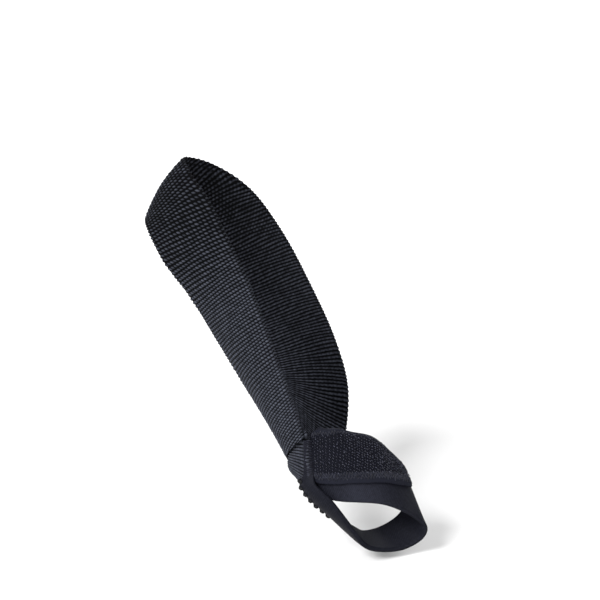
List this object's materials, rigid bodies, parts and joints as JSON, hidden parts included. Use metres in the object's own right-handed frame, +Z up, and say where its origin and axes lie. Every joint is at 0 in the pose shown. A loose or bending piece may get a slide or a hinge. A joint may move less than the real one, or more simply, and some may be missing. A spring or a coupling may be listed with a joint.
{
  "type": "bunion corrector",
  "caption": "Worn elastic foot brace: a wide ribbed strap round the heel holds a foam toe loop, closed by hook tape, that draws the big toe inwards.",
  "frame": {"origin": "middle of the toe hollow, where the big toe sits in the foam loop", "axes": "+X towards the toes, +Y towards the little toe side, +Z up, in the pose in which it is worn"},
  "size_m": [0.1758, 0.0931, 0.179],
  "materials": {
    "ribbed_webbing": "matte ribbed elastic webbing",
    "smooth_foam": "smooth knit face on foam",
    "hook_tape": "rough hook and loop tape"
  },
  "bodies": {
    "root": {"heel_strap": "ribbed_webbing", "toe_band": "smooth_foam", "fastening_tape": "hook_tape"}
  },
  "joints": []
}
